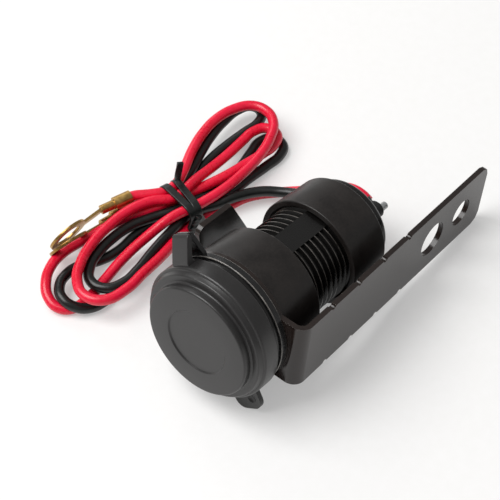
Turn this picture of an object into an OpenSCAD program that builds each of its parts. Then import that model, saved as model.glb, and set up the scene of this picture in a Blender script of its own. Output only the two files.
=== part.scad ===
// Panel-mount charger socket for a motorcycle: a threaded barrel with a hinged
// rubber cap, two ring nuts, a folded steel bracket and a tied hank of two leads.
// Lengths are in millimetres. The barrel's axis is Y, its front faces -Y, and
// y = 0 is the cap's front face. The whole socket is then laid on the table.

/* [Protective cap] */
// Radius of the cap's skirt
cap_r = 19.3; // [18:0.1:21]
// Radius of the flat front face
cap_face_r = 16.0; // [14:0.1:17]
// Length of the cap from its front face to its rear rim
cap_len = 9.2; // [8.6:0.1:9.3]
// Depth from the front face to the first shoulder
cap_step = 2.6; // [2:0.1:3.2]
// Thickness of the cap's front wall
cap_face_t = 1.9; // [1.4:0.1:2.4]
// Radius of the shallow round recess in the face
cap_recess_r = 9.5; // [6:0.5:11]
// Depth of the shallow round recess in the face
cap_recess_depth = 0.35; // [0.2:0.05:0.6]
// Width of the pull tab
tab_w = 9; // [6:0.5:10]
// Reach of the pull tab from the axis
tab_reach = 24.9; // [23:0.1:26]
// Thickness of the pull tab
tab_t = 1.4; // [1.2:0.1:2.4]
// Width of the hinge strap
strap_w = 6; // [5:0.5:9]
// Reach of the hinge strap from the axis
strap_reach = 26.0; // [25:0.1:29]
// Angle of the hinge strap round the axis, from +X towards +Z
hinge_angle = 125.5; // [110:1:140]

/* [Barrel] */
// Radius over the thread's crests
thread_r = 13.6; // [13:0.1:14.5]
// Depth of the thread
thread_depth = 0.65; // [0.4:0.05:0.8]
// Pitch of the thread
thread_pitch = 2.0; // [1.5:0.1:2.5]
// Bore of the barrel
bore_r = 11.4; // [10.5:0.1:11.8]
// Radius of the front flange
flange_r = 18.0; // [17:0.1:18.6]
// Thickness of the front flange
flange_t = 1.6; // [1.2:0.1:2.4]
// Radius of the collar that the cap closes over
collar_r = 16.6; // [15.8:0.1:17]
// Distance from the cap's front face to the collar's front
collar_front = 4.2; // [4:0.1:5]
// Distance from the axis to the flats that cut the thread
flat_d = 13.15; // [12.95:0.05:13.6]
// Angle of the flats round the axis
flat_angle = 86; // [0:1:180]
// Where the thread ends behind the front face
thread_end = 59.8; // [55:0.1:62]
// Where the plain tail of the barrel ends
tail_end = 63.5; // [62:0.1:66]
// Radius of the plain tail
tail_r = 13.0; // [12.6:0.1:13.6]

/* [Anchor ring of the strap] */
// Radius of the ring that holds the strap
anchor_r = 18.7; // [17.5:0.1:19.5]
// Thickness of the ring that holds the strap
anchor_t = 2.0; // [1.5:0.1:2.6]

/* [Ring nuts] */
// Length of each ring nut
nut_len = 14.3; // [10:0.1:15.5]
// Front radius of the front nut
front_nut_r = 17.7; // [17:0.1:18.5]
// Rear radius of the front nut
front_nut_rear_r = 17.0; // [16:0.1:18]
// Front radius of the rear nut
rear_nut_r = 15.8; // [15.5:0.1:17]
// Rear radius of the rear nut
rear_nut_rear_r = 15.2; // [15:0.1:16.5]
// Distance from the front face to the rear nut
rear_nut_y = 45.2; // [44:0.1:45.4]
// Running clearance of each nut over the thread
nut_clear = 0.08; // [0.04:0.02:0.1]

/* [Bracket] */
// Thickness of the bracket's sheet steel
sheet_t = 1.5; // [1.2:0.1:2]
// Radius of the bracket's ring
ring_r = 18.0; // [17:0.1:19]
// Width of the bracket's arm
arm_w = 20.4; // [18:0.1:22]
// Inside radius of the bracket's folds
fold_r = 2.0; // [1.5:0.1:3]
// Angle that the long arm is folded past square
arm_toe = 1.95; // [0:0.05:3]
// Distance from the axis to the fold line of the long arm
arm_fold_x = 19.3; // [18.5:0.1:20.5]
// Length of the long arm behind its fold
arm_len = 82.5; // [72:0.5:100]
// Corner radius at the arm's far end
arm_corner_r = 3; // [1:0.5:5]
// Radius of the larger screw hole
big_hole_r = 5.2; // [4:0.1:6]
// Radius of the smaller screw hole
small_hole_r = 4.1; // [3:0.1:5]
// Distance from the arm's end to the smaller hole
small_hole_end = 11.3; // [8:0.1:14]
// Distance between the two screw holes
hole_gap = 14.4; // [13:0.1:18]
// Distance from the fold to the first pair of edge nicks
nick_first = 9.1; // [6:0.1:10]
// Distance between pairs of edge nicks
nick_pitch = 11.45; // [10:0.05:12.5]
// Number of pairs of edge nicks
nick_count = 4; // [0:1:4]
// Radius of each edge nick
nick_r = 0.9; // [0.5:0.1:1.5]
// Distance from the axis to the fold line of the short ear
ear_fold_x = 17.7; // [16.5:0.1:18.5]
// Length of the short ear behind its fold
ear_len = 31.5; // [26:0.5:36]

/* [Charging insert] */
// Thickness of the face plate
face_plate_t = 2.4; // [2:0.1:3]
// Radius of the face plate
face_plate_r = 14.4; // [13.6:0.1:14.5]
// Width of a port's metal shell
port_w = 13.1; // [13:0.1:13.2]
// Height of a port's metal shell
port_h = 5.7; // [5.6:0.1:5.8]
// Wall of a port's metal shell
port_wall = 0.35; // [0.3:0.05:0.4]
// Depth of a port's metal shell
port_depth = 14; // [13:0.5:16]
// Thickness of the circuit board
board_t = 1.6; // [1.2:0.2:2]
// Width of the circuit board
board_w = 20.4; // [18:0.2:21]
// Length of the circuit board
board_len = 46; // [40:1:48]

/* [Rear terminals] */
// Radius of each terminal pin
pin_r = 1.1; // [0.8:0.1:1.4]
// How far the positive pin reaches behind the tail
pin_reach = 11.7; // [10:0.1:13]
// Distance of the positive pin from the barrel's middle plane
pin_x = 3.8; // [2.8:0.1:4.5]
// Radius of the insulating boots
boot_r = 2.5; // [2.2:0.1:2.8]
// Length of the insulating boots
boot_len = 8.6; // [6:0.1:9]

/* [Leads] */
// Diameter of each insulated wire
wire_d = 3.0; // [2.6:0.1:3.4]
// Thickness of the tied hank of wire
hank_h = 8.6; // [8:0.2:12]
// Hole radius of the ring terminals
eye_hole_r = 3.9; // [2.6:0.1:4.2]
// Outer radius of the ring terminals
eye_r = 6.0; // [5.4:0.1:6.5]
// Thickness of the ring terminals' sheet
eye_t = 0.8; // [0.6:0.1:1]

/* [Resting place] */
// Tilt of the barrel's axis down to the rear as the socket lies
lie_pitch = 7.7; // [6:0.1:9]
// Height of the axis over the table at the cap's front face
axis_height = 23.03; // [21:0.1:25]

/* [Hidden] */
$fn = 96;

// Centre of the socket's footprint on the table, seen from above
foot_x = 0.8;
foot_y = 48.65;
gap = 0.05;
eps = 0.01;

// Stations along the axis, worked out from the front
flange_y = cap_len + 0.3;
anchor_y = flange_y + flange_t + gap;
plate_y = anchor_y + anchor_t + gap;
front_nut_y = plate_y + sheet_t + gap;
root_r = thread_r - thread_depth;
neck_r = thread_r - gap;
cap_wall_r = collar_r + 0.15;
pocket_r = face_plate_r + 0.1;
face_y = collar_front + 0.7;
pocket_y = face_y + face_plate_t;
board_y = pocket_y + 4.2;
board_end = board_y + board_len;
board_clear = 0.3;
chip_y = board_y + port_depth + 1;
chip_len = 5;
inductor_r = 3.6;
can_r = 2.5;
rear_can_y = board_end - 9.5;
plug_y = tail_end - 3.2;
port_z = board_t / 2 + port_h / 2 + gap;
port_y = face_y + 0.2;
pin_z = 0.5;
neg_z = -1.5;
blade_z = board_t / 2 + gap + 0.35;
boot_shift = 0.5;
spout_y = boot_len - 3;
spout_r = wire_d / 2 + 0.5;
spout_len = 4.2;
neg_x = -4.2;
boot_y = tail_end + gap;
hinge_y = cap_len + 0.75;
tab_angle = hinge_angle - 181;
tab_corner_r = 2.8;
arm_out = fold_r + sheet_t;
fold_y = plate_y + arm_out;

// Points of an arc about (cx, cy)
function arc(cx, cy, r, a0, a1, n = 8) =
    [for (i = [0:n]) [cx + r * cos(a0 + (a1 - a0) * i / n), cy + r * sin(a0 + (a1 - a0) * i / n)]];

// Placement helpers: everything of the socket is drawn about the Y axis
module lying() {
    translate([-foot_x, -foot_y, axis_height]) rotate([-lie_pitch, 0, 0]) children();
}
module on_table() {
    translate([-foot_x, -foot_y, 0]) children();
}
module turned() {
    rotate([-90, 0, 0]) rotate_extrude() children();
}
module around(angle) {
    rotate([0, -angle, 0]) children();
}
module rod_y(r, y0, y1) {
    translate([0, y0, 0]) rotate([-90, 0, 0]) cylinder(r = r, h = y1 - y0);
}
module slab_y(y0, t) {
    translate([0, y0 + t, 0]) rotate([90, 0, 0]) linear_extrude(t) children();
}
module block(x, y, z) {
    translate([-x / 2, 0, -z / 2]) cube([x, y, z]);
}

// Rubber cap: stepped front, skirt, pull tab and the moving leaf of the strap
module protective_cap() {
    color([0.27, 0.26, 0.26]) lying() difference() {
        union() {
            turned() polygon(concat(
                [[0, cap_recess_depth], [cap_recess_r - 0.4, cap_recess_depth], [cap_recess_r, 0]],
                arc(cap_face_r - 0.5, 0.5, 0.5, -90, 0, 4),
                arc(cap_face_r + 0.5, cap_step - 0.6, 0.6, 180, 90, 4),
                arc(cap_face_r + 1.7, cap_step + 0.5, 0.5, -90, 0, 4),
                [[cap_face_r + 2.2, cap_step + 1.4]],
                arc(cap_r - 0.7, cap_step + 2.1, 0.7, -90, 0, 4),
                [[cap_r, cap_len - 0.4], [cap_r - 0.4, cap_len], [0, cap_len]]));
            around(tab_angle) pull_tab();
            around(hinge_angle) cap_leaf();
        }
        turned() polygon([[0, cap_face_t], [cap_face_r - 2.2, cap_face_t], [cap_face_r - 1.8, cap_step + 1.4],
            [cap_wall_r, cap_step + 1.4], [cap_wall_r, cap_len + 1], [0, cap_len + 1]]);
        around(tab_angle) translate([tab_reach - 3.2, cap_len - tab_t - 1, 1.8])
            rotate([-90, 0, 0]) cylinder(r = 1.3, h = 1.5, $fn = 32);
    }
}
module pull_tab() {
    flat = tab_w - 2 * tab_corner_r;
    slab_y(cap_len - tab_t, tab_t) {
        for (side = [-1, 1]) translate([tab_reach - tab_corner_r, side * flat / 2]) circle(r = tab_corner_r);
        translate([cap_wall_r + 0.6, -tab_w / 2]) square([tab_reach - tab_corner_r - cap_wall_r - 0.6, tab_w]);
        translate([tab_reach - tab_corner_r, -flat / 2]) square([tab_corner_r, flat]);
    }
}
module cap_leaf() {
    linear_extrude(strap_w, center = true) polygon(concat(
        [[cap_r - 1.2, 5.0], [cap_r + 0.6, 5.3]],
        arc(strap_reach - 1.5, hinge_y - 0.35, 1.5, -70, 0, 6),
        [[strap_reach - 1.2, hinge_y - 0.2], [cap_r + 0.8, 7.4], [cap_r, 8.0], [cap_r - 1.2, 8.0]]));
}

// Ring of the strap, gripped between the flange and the bracket
module cap_anchor_ring() {
    color([0.25, 0.24, 0.24]) lying() difference() {
        union() {
            turned() polygon(concat(
                [[neck_r + 0.1, anchor_y], [anchor_r - 0.3, anchor_y], [anchor_r, anchor_y + 0.3]],
                [[anchor_r, anchor_y + anchor_t - 0.3], [anchor_r - 0.3, anchor_y + anchor_t]],
                [[neck_r + 0.1, anchor_y + anchor_t]]));
            around(hinge_angle) anchor_leaf();
        }
        rod_y(neck_r + 0.1, anchor_y - 1, anchor_y + anchor_t + 1);
    }
}
module anchor_leaf() {
    linear_extrude(strap_w - 1.6, center = true) polygon(concat(
        [[anchor_r - 1.2, anchor_y + 0.2], [anchor_r + 0.6, anchor_y + 0.2]],
        [[strap_reach - 1.2, hinge_y + 0.2], [strap_reach - 0.1, hinge_y + 0.2]],
        arc(strap_reach - 1.3, hinge_y + 0.4, 1.2, 0, 80, 6),
        [[anchor_r + 0.4, anchor_y + anchor_t - 0.3], [anchor_r - 1.2, anchor_y + anchor_t - 0.3]]));
}

// Moulded barrel: collar, flange, thread with two smooth flats, plain tail, bored through
module socket_barrel() {
    flat_w = 2 * sqrt(thread_r * thread_r - flat_d * flat_d) - 0.1;
    flat_len = thread_end - front_nut_y - 0.3;
    color([0.16, 0.15, 0.15]) lying() difference() {
        union() {
            turned() barrel_profile();
            for (side = [0, 180]) around(flat_angle + side)
                translate([bore_r + 0.5, front_nut_y + 0.5, -flat_w / 2])
                    cube([thread_r - bore_r - 0.4, flat_len - 0.4, flat_w]);
        }
        for (side = [0, 180]) around(flat_angle + side)
            translate([flat_d, front_nut_y + 0.3, -thread_r]) cube([thread_r, flat_len, 2 * thread_r]);
    }
}
module barrel_profile() {
    ridges = floor((thread_end - 0.6 - front_nut_y) / thread_pitch);
    first = thread_end - 0.6 - ridges * thread_pitch;
    polygon(concat(
        [[pocket_r, collar_front + 0.3], [pocket_r + 0.3, collar_front]],
        [[collar_r - 0.9, collar_front], [collar_r - 0.5, collar_front + 0.4]],
        [[collar_r, flange_y - 1], [collar_r, flange_y], [flange_r - 0.3, flange_y], [flange_r, flange_y + 0.3]],
        [[flange_r, flange_y + flange_t], [neck_r, flange_y + flange_t], [neck_r, first - 0.3]],
        [[root_r, first - 0.3 + thread_depth * 0.6]],
        [for (i = [0:ridges - 1]) let (y = first + i * thread_pitch) each [
            [root_r, y + thread_pitch * 0.3], [thread_r, y + thread_pitch * 0.5],
            [thread_r, y + thread_pitch * 0.7], [root_r, y + thread_pitch * 0.9]]],
        [[root_r, thread_end], [tail_r, thread_end + 0.3]],
        arc(tail_r - 1.4, tail_end - 1.4, 1.4, 0, 90, 6),
        [[bore_r, tail_end], [bore_r, pocket_y], [pocket_r, pocket_y]]));
}

// Plain-sided ring nuts with bevelled rims
module ring_nut(y0, r0, r1) {
    y1 = y0 + nut_len;
    hole = thread_r + nut_clear;
    turned() polygon(concat(
        [[hole, y0 + 0.5], [hole + 0.5, y0], [r0 - 1.0, y0]],
        arc(r0 - 0.8, y0 + 0.9, 0.8, -75, 0, 4),
        arc(r1 - 0.8, y1 - 0.9, 0.8, 0, 75, 4),
        [[r1 - 1.0, y1], [hole + 0.5, y1], [hole, y1 - 0.5]]));
}
module front_ring_nut() {
    color([0.2, 0.19, 0.19]) lying() ring_nut(front_nut_y, front_nut_r, front_nut_rear_r);
}
module rear_ring_nut() {
    color([0.2, 0.19, 0.19]) lying() ring_nut(rear_nut_y, rear_nut_r, rear_nut_rear_r);
}

// Folded sheet bracket: ring, long drilled arm with nicked edges, short ear
module mounting_bracket() {
    color([0.13, 0.13, 0.13]) lying() difference() {
        union() {
            slab_y(plate_y, sheet_t) circle(r = ring_r);
            difference() {
                linear_extrude(arm_w, center = true) folded_edge(arm_fold_x, arm_toe, arm_len);
                translate([arm_fold_x, fold_y, 0]) rotate([0, 0, arm_toe]) arm_cuts();
            }
            mirror([1, 0, 0]) intersection() {
                linear_extrude(arm_w + 4, center = true) folded_edge(ear_fold_x, 0, ear_len + 1);
                translate([ear_fold_x, fold_y, 0]) ear_blank();
            }
        }
        rod_y(thread_r + 0.3, plate_y - 1, plate_y + sheet_t + 1);
    }
}
module folded_edge(fold_x, toe, reach) {
    along = [-sin(toe), cos(toe)] * reach;
    out = [cos(toe), sin(toe)];
    polygon(concat(
        [[0, plate_y]], arc(fold_x, fold_y, arm_out, -90, toe, 12),
        [[fold_x, fold_y] + arm_out * out + along, [fold_x, fold_y] + fold_r * out + along],
        arc(fold_x, fold_y, fold_r, toe, -90, 12), [[0, plate_y + sheet_t]]));
}
module across_sheet() {
    translate([-10, 0, 0]) rotate([90, 0, 90]) linear_extrude(30) children();
}
module arm_cuts() {
    top = arm_w / 2;
    across_sheet() translate([arm_len - small_hole_end, 0]) circle(r = small_hole_r);
    across_sheet() translate([arm_len - small_hole_end - hole_gap, 0]) circle(r = big_hole_r);
    for (i = [0:1:nick_count - 1], side = [-1, 1]) across_sheet()
        translate([nick_first + i * nick_pitch, side * (top + nick_r * 0.2)]) circle(r = nick_r, $fn = 24);
    for (side = [-1, 1]) across_sheet() polygon([
        [arm_len - arm_corner_r, side * (top + 1)], [arm_len - arm_corner_r, side * top],
        [arm_len - arm_corner_r * 0.3, side * (top - arm_corner_r * 0.3)],
        [arm_len, side * (top - arm_corner_r)], [arm_len + 1, side * (top - arm_corner_r)],
        [arm_len + 1, side * (top + 1)]]);
}
module ear_blank() {
    top = arm_w / 2;
    across_sheet() polygon(concat(
        [[-30, -top], [ear_len, -top], [ear_len - 4.3, -3.2], [ear_len - 11.9, top - 0.6], [ear_len - 12.5, top]],
        arc(8.6, top - 2.4, 2.4, 90, 180, 6), [[7.6, 2.4], [6.6, 1], [-30, 1]]));
}

// Face plate with two port openings, seated in the barrel's mouth
module usb_face_plate() {
    color([0.1, 0.1, 0.1]) lying() difference() {
        turned() polygon([[0, face_y + 0.4], [face_plate_r - 2.2, face_y + 0.4], [face_plate_r - 1.8, face_y],
            [face_plate_r - 0.3, face_y], [face_plate_r, face_y + 0.3],
            [face_plate_r, pocket_y - gap], [0, pocket_y - gap]]);
        for (side = [-1, 1]) translate([0, face_y - 1, side * port_z])
            block(port_w + 0.2, face_plate_t + 2, port_h + 0.2);
    }
}

// Port: folded metal shell, and a tongue moulded on a block that closes its back
module port_shell(side) {
    inner_w = port_w - 2 * port_wall;
    inner_h = port_h - 2 * port_wall;
    translate([0, port_y, side * port_z]) difference() {
        block(port_w, port_depth, port_h);
        translate([0, -1, 0]) block(inner_w, port_depth + 2, inner_h);
        for (s = [-1, 1], x = [-3, 3]) translate([x, 5, s * port_h / 2]) block(1.6, 5, port_h / 2);
    }
}
module usb_port_upper() {
    color([0.75, 0.75, 0.76]) lying() port_shell(1);
}
module usb_port_lower() {
    color([0.75, 0.75, 0.76]) lying() port_shell(-1);
}
module port_tongue(side) {
    inner_w = port_w - 2 * port_wall - 2 * gap;
    inner_h = port_h - 2 * port_wall - 2 * gap;
    translate([0, port_y, side * port_z]) {
        translate([0, port_depth - 4.2, 0]) block(inner_w, 4.2, inner_h);
        translate([0, 1.2, 1.1]) block(11.1, port_depth - 5, 1.9);
    }
}
module usb_tongue_upper() {
    color([0.93, 0.93, 0.9]) lying() port_tongue(1);
}
module usb_tongue_lower() {
    color([0.93, 0.93, 0.9]) lying() port_tongue(-1);
}
module usb_contacts() {
    color([0.85, 0.68, 0.3]) lying() for (side = [-1, 1], x = [-3.5, -1, 1, 3.5])
        translate([x, port_y + 2.2, side * port_z + 1.1 - 0.95 - 0.12 - 0.01]) block(1, port_depth - 6.8, 0.24);
}

// Circuit board and what is soldered to it
module circuit_board() {
    color([0.1, 0.35, 0.2]) lying() difference() {
        translate([0, board_y, 0]) block(board_w, board_len, board_t);
        for (s = [-1, 1]) translate([s * board_w / 2, board_end - 3, 0]) block(4, 4, board_t + 1);
    }
}
module converter_chip() {
    color([0.12, 0.12, 0.12]) lying() translate([0, chip_y, board_t / 2 + gap]) {
        translate([-2, 0, 0.15]) cube([4, chip_len, 1.4]);
        for (i = [0:3], s = [-1, 1])
            translate([s > 0 ? 1.9 : -3.1, 0.4 + i * chip_len / 4, 0]) cube([1.2, 0.45, 0.5]);
    }
}
module power_inductor() {
    inductor_y = chip_y + chip_len + inductor_r + 2.4;
    color([0.3, 0.3, 0.32]) lying() translate([0.1 - inductor_r, inductor_y, board_t / 2 + gap]) {
        cylinder(r = inductor_r, h = 0.8, $fn = 48);
        cylinder(r = inductor_r - 1.2, h = 4.4, $fn = 48);
        translate([0, 0, 3.6]) cylinder(r = inductor_r, h = 0.8, $fn = 48);
    }
}
module filter_capacitors() {
    front_can_y = (chip_y + chip_len + rear_can_y - can_r) / 2;
    color([0.15, 0.2, 0.45]) lying() for (spot = [[can_r + 2.9, front_can_y], [can_r + 1.9, rear_can_y]])
        translate([spot[0], spot[1], board_t / 2 + gap]) cylinder(r = can_r, h = 5.4, $fn = 48);
}
module small_components() {
    first_y = chip_y + chip_len;
    color([0.75, 0.65, 0.5]) lying() for (i = [0:4], s = [-1, 1])
        translate([-7 + 3.3 * i, first_y + (board_end - 10 - first_y) / 4 * i,
            s > 0 ? board_t / 2 + gap : -board_t / 2 - gap - 0.8])
            if (s < 0 || i == 0) cube([1.2, 2, 0.8]);
}

// Rear plug and the two pins that pass through it
module rear_plug() {
    color([0.14, 0.14, 0.14]) lying() difference() {
        turned() polygon([[0, plug_y], [bore_r - gap, plug_y], [bore_r - gap, tail_end - 0.4],
            [bore_r - gap - 0.4, tail_end], [0, tail_end]]);
        for (spot = [[neg_x, neg_z], [pin_x, pin_z]])
            translate([spot[0], 0, spot[1]]) rod_y(pin_r + gap, plug_y - 1, tail_end + 1);
        translate([0, board_y, 0])
            block(board_w + 2 * board_clear, board_len + board_clear, board_t + 2 * board_clear);
    }
}
module terminal_pin(x, z, reach, side) {
    tip = tail_end + reach;
    translate([x, 0, z]) {
        rod_y(pin_r, board_end + 1, tip - 0.5);
        translate([0, tip - 0.5, 0]) rotate([-90, 0, 0]) cylinder(r1 = pin_r, r2 = pin_r * 0.6, h = 0.5);
    }
    translate([x, board_end - 4.4, side * blade_z]) block(1.8, 6, 0.7);
}
module positive_terminal() {
    color([0.7, 0.7, 0.7]) lying() terminal_pin(pin_x, pin_z, pin_reach, 1);
}
module negative_terminal() {
    color([0.7, 0.7, 0.7]) lying() terminal_pin(neg_x, neg_z, boot_len + 0.6, -1);
}

// Boots over the pins, each with a side spout for its wire
module boot(x, z, spout_turn) {
    translate([x, boot_y, z]) difference() {
        union() {
            translate([-boot_shift, 0, boot_shift]) {
                rod_y(boot_r, 0, boot_len - 0.8);
                translate([0, boot_len - 0.8, 0]) rotate([-90, 0, 0])
                    cylinder(r1 = boot_r, r2 = boot_r - 0.8, h = 0.8);
            }
            translate([-boot_shift, spout_y, boot_shift]) rotate([0, spout_turn, 0])
                cylinder(r = spout_r, h = spout_len);
        }
        rod_y(pin_r + gap, -1, boot_len + 1);
        translate([-boot_shift, spout_y, boot_shift]) rotate([0, spout_turn, 0])
            translate([0, 0, spout_len - 1.5]) cylinder(r = wire_d / 2 + gap, h = 2);
    }
}
module positive_boot() {
    color([0.09, 0.09, 0.09]) lying() boot(pin_x, pin_z, -52);
}
module negative_boot() {
    color([0.09, 0.09, 0.09]) lying() boot(neg_x, neg_z, -120);
}

// Routes of the wires over the table, by hand, from the socket's front centre
red_lead_route = [[0.9, 70.4, 16.2], [-1.6, 70.5, 17.4], [-4.6, 70.5, 17.1], [-8.6, 70.7, 14.4],
    [-13.6, 71.2, 9.7], [-18.4, 71.6, 5.4], [-22.5, 70.9, 2.7], [-25.9, 68.8, 1.7], [-29, 65.8, 1.6],
    [-31.8, 62.5, 1.6], [-34, 58.7, 1.6], [-35.6, 54.7, 1.6], [-36.9, 51, 1.7]];
black_lead_route = [[-7.6, 68.5, 11], [-10.6, 68.2, 9.5], [-14.6, 68, 7.9], [-18.4, 67.8, 6.6],
    [-22.1, 67.1, 5.2], [-25.6, 65.5, 4.6], [-29.4, 62.7, 4.6], [-31.6, 60.3, 4.6], [-33.4, 57.6, 4.7],
    [-34.9, 54.2, 4.9], [-36.6, 50.2, 5]];
red_tail_route = [[-50.9, 38.8, 7.2], [-52.8, 38.2, 7.2], [-54.3, 36.8, 7.2], [-55.4, 34.9, 7.2], [-56.4, 32, 7.1]];
black_tail_route = [[-50.9, 38.7, 3], [-53.5, 38, 2.6], [-55.3, 36.1, 2.3], [-55.9, 33.6, 2.5],
    [-56.2, 30.9, 2.8]];
red_neck = [-58.4, 26.2, 7];
red_eye_tip = [-60.4, 8, 6];
black_neck = [-56.9, 24.2, 3.6];
black_eye_tip = [-58.1, 6.2, 6.8];

// A round tube swept along a route, closed at both ends
function unit(v) = v / norm(v);
function spline(p, i, t) = let (
    a = p[max(i - 1, 0)], b = p[i], c = p[i + 1], d = p[min(i + 2, len(p) - 1)])
    0.5 * (2 * b + (c - a) * t + (2 * a - 5 * b + 4 * c - d) * t * t + (3 * b - a - 3 * c + d) * t * t * t);
function smooth_route(p, n) = concat(
    [for (i = [0:len(p) - 2], k = [0:n - 1]) spline(p, i, k / n)], [p[len(p) - 1]]);
function heading(q, i) = unit(q[min(i + 1, len(q) - 1)] - q[max(i - 1, 0)]);
module tube(route, d, n = 2, sides = 8) {
    q = smooth_route(route, n);
    rings = len(q);
    pts = [for (i = [0:rings - 1]) let (
        h = heading(q, i), a = unit(cross(h, [0.1, 0, 1])), b = cross(h, a))
        for (s = [0:sides - 1]) q[i] + d / 2 * (a * cos(360 * s / sides) + b * sin(360 * s / sides))];
    walls = [for (i = [0:rings - 2], s = [0:sides - 1]) let (u = i * sides, v = (s + 1) % sides)
        [u + s, u + sides + s, u + sides + v, u + v]];
    polyhedron(points = pts, convexity = 4, faces = concat(walls,
        [[for (s = [0:sides - 1]) s]], [[for (s = [0:sides - 1]) (rings - 1) * sides + sides - 1 - s]]));
}
module red_wire_lead() {
    color([0.88, 0.1, 0.2]) on_table() tube(red_lead_route, wire_d);
}
module black_wire_lead() {
    color([0.15, 0.16, 0.16]) on_table() tube(black_lead_route, wire_d);
}
module red_wire_tail() {
    color([0.88, 0.1, 0.2]) on_table() tube(red_tail_route, wire_d);
}
module black_wire_tail() {
    color([0.15, 0.16, 0.16]) on_table() tube(black_tail_route, wire_d);
}

// The tied hank: two lobes that the tie draws in at the waist
hank_low = [-46.2, 4.4];
hank_high = [-47.1, 78.2];
hank_waist = [-43.8, 43.6];
waist_r = 6.9;
lobe_r = 10.8;
module wire_hank() {
    color([0.75, 0.12, 0.2]) on_table() difference() {
        linear_extrude(hank_h) union() {
            lobe(hank_low);
            lobe(hank_high);
        }
        tie_place() tie_band(0.1);
        translate([-70, hank_low[1] + 0.4, -1]) cube([19.6, 32, hank_h + 2]);
    }
}
module lobe(far) {
    hull() {
        translate(far) circle(r = lobe_r, $fn = 32);
        translate(hank_waist) circle(r = waist_r, $fn = 32);
    }
}
module tie_place() {
    translate([hank_waist[0], hank_waist[1], 0]) rotate([0, 0, 4]) children();
}
module tie_band(grow) {
    half = waist_r - 0.6 - grow;
    difference() {
        translate([-waist_r - 1, -3.4 - grow, -1]) cube([2 * waist_r + 2, 6.8 + 2 * grow, hank_h + 2]);
        translate([-half, -5, 0.9 + grow]) cube([2 * half, 10, hank_h + 3]);
    }
}
module twist_tie() {
    out = waist_r + 0.1;
    color([0.14, 0.15, 0.15]) on_table() tie_place() {
        difference() {
            translate([-out, -3.4, 0]) cube([2 * out, 6.8, hank_h + 1]);
            translate([-waist_r + 0.6, -5, 0.9]) cube([2 * waist_r - 1.2, 10, hank_h - 0.8]);
        }
        translate([-5.4, 1.6, hank_h + 0.6]) rotate([-14, 0, 0]) translate([-0.5, -1.2, 0]) cube([1, 2.4, 6]);
    }
}

// Ring terminals: ferrule, crimp, neck and eye, aimed from the wire's end to the eye's tip
module aimed(from, to, roll) {
    d = to - from;
    translate(from) rotate([0, 0, atan2(d[1], d[0])]) rotate([0, -asin(d[2] / norm(d)), 0])
        rotate([roll, 0, 0]) children();
}
module ferrule() {
    difference() {
        union() {
            rotate([0, 90, 0]) cylinder(r = wire_d / 2 + 0.45, h = 5.2, $fn = 32);
            translate([5.1, 0, 0]) rotate([0, 90, 0]) cylinder(r = 1.35, h = 4.3, $fn = 32);
        }
        translate([-1, 0, 0]) rotate([0, 90, 0]) cylinder(r = wire_d / 2 + gap, h = 5.6, $fn = 32);
    }
}
module eye() {
    eye_x = 18.3 - eye_r;
    difference() {
        union() {
            translate([-1, -1.2, -eye_t / 2]) cube([eye_x - 1, 2.4, eye_t]);
            translate([eye_x, 0, -eye_t / 2]) cylinder(r = eye_r, h = eye_t);
        }
        translate([eye_x, 0, -2]) cylinder(r = eye_hole_r, h = 4);
    }
}
module red_ring_terminal() {
    color([0.82, 0.66, 0.35]) on_table() {
        aimed(red_tail_route[3], red_neck, 0) ferrule();
        aimed(red_neck, red_eye_tip, 68) eye();
    }
}
module black_ring_terminal() {
    color([0.82, 0.66, 0.35]) on_table() {
        aimed(black_tail_route[3], black_neck, 0) ferrule();
        aimed(black_neck, black_eye_tip, 58) eye();
    }
}

protective_cap();
cap_anchor_ring();
socket_barrel();
front_ring_nut();
rear_ring_nut();
mounting_bracket();
usb_face_plate();
usb_port_upper();
usb_port_lower();
usb_tongue_upper();
usb_tongue_lower();
usb_contacts();
circuit_board();
converter_chip();
power_inductor();
filter_capacitors();
small_components();
rear_plug();
positive_terminal();
negative_terminal();
positive_boot();
negative_boot();
red_wire_lead();
black_wire_lead();
wire_hank();
twist_tie();
red_wire_tail();
black_wire_tail();
red_ring_terminal();
black_ring_terminal();
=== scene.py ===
# Looks for the motorcycle charger socket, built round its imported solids
import math

import bmesh
import bpy
from mathutils import Matrix, Vector


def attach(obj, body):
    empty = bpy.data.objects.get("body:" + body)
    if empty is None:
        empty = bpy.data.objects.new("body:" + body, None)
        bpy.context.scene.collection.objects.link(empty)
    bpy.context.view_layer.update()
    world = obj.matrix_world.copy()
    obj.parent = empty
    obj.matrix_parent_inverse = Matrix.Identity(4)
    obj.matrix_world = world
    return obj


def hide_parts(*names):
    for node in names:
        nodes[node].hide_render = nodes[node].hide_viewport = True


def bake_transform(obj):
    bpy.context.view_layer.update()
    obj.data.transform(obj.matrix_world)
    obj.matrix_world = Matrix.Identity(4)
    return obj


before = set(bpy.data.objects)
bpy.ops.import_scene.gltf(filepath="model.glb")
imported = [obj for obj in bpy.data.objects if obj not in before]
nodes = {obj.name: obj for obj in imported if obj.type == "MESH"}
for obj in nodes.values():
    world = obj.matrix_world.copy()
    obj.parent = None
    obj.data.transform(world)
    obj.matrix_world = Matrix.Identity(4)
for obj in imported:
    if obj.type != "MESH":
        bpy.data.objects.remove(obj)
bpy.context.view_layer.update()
scene = bpy.context.scene
mm = 0.001
fullTurn = 2 * math.pi

# The socket is drawn about its own Y axis in millimetres, then laid down nose up
lie = {"foot": (-0.8, -48.65), "height": 23.03, "pitch": 7.7}
tablePlace = Matrix.Translation(Vector((*lie["foot"], 0)) * mm) @ Matrix.Scale(mm, 4)
socketPlace = (Matrix.Translation(Vector((*lie["foot"], lie["height"])) * mm)
               @ Matrix.Rotation(math.radians(-lie["pitch"]), 4, "X") @ Matrix.Scale(mm, 4))

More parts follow.
